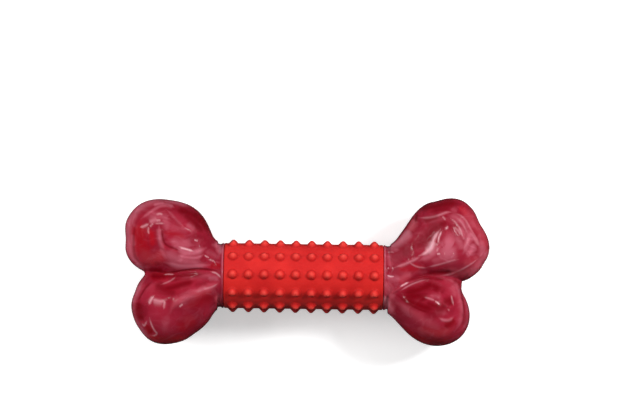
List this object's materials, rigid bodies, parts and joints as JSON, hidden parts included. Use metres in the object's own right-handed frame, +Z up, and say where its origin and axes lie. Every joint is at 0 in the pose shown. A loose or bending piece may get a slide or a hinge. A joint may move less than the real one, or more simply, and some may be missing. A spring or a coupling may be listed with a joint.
{
  "type": "dog chew toy",
  "caption": "Bone-shaped chew toy with two-lobed hard ends on a stiff core and a nubbed rubber grip sleeve between them.",
  "frame": {"origin": "under the middle of the toy's box, on the surface that its four lobes lie on", "axes": "+X along the toy's length towards its right end, +Y across the spread of the lobes, +Z up through their thickness"},
  "size_m": [0.25, 0.103, 0.053],
  "materials": {
    "marbled_nylon": "glossy maroon nylon with milky pink swirls",
    "core_nylon": "plain moulded maroon nylon",
    "red_rubber": "satin bright red rubber"
  },
  "bodies": {
    "root": {"left_knuckle": "marbled_nylon", "right_knuckle": "marbled_nylon", "core_shaft": "core_nylon", "nub_sleeve": "red_rubber"}
  },
  "joints": []
}
